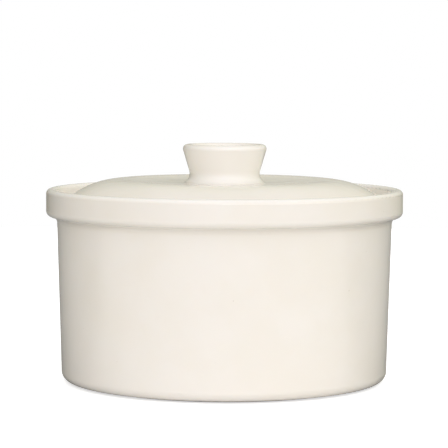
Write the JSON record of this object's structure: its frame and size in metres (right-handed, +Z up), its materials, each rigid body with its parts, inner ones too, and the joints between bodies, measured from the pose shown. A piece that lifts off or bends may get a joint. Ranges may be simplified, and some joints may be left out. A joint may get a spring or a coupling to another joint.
{
  "type": "lidded casserole",
  "caption": "Round glazed porcelain casserole: straight-sided pot with a broad collar, low domed lid sunk inside the rim, and a flared knob with a dished top.",
  "frame": {"origin": "centre of the foot ring, on the surface that the pot stands on", "axes": "+Z up along the axis that all three pieces share; X and Y are free because the object is round"},
  "size_m": [0.21, 0.21, 0.1401],
  "materials": {
    "glazed_porcelain": "warm ivory-white transparent gloss glaze over white porcelain; bare and matt on the foot ring and on the lid's seat"
  },
  "bodies": {
    "pot": {"pot": "glazed_porcelain"},
    "lid": {"lid_dome": "glazed_porcelain", "lid_knob": "glazed_porcelain"}
  },
  "joints": [
    {"name": "lid_lift", "type": "slide", "parent": "pot", "child": "lid", "axis": [0, 0, 1], "range_m": [0, 0.1]}
  ]
}
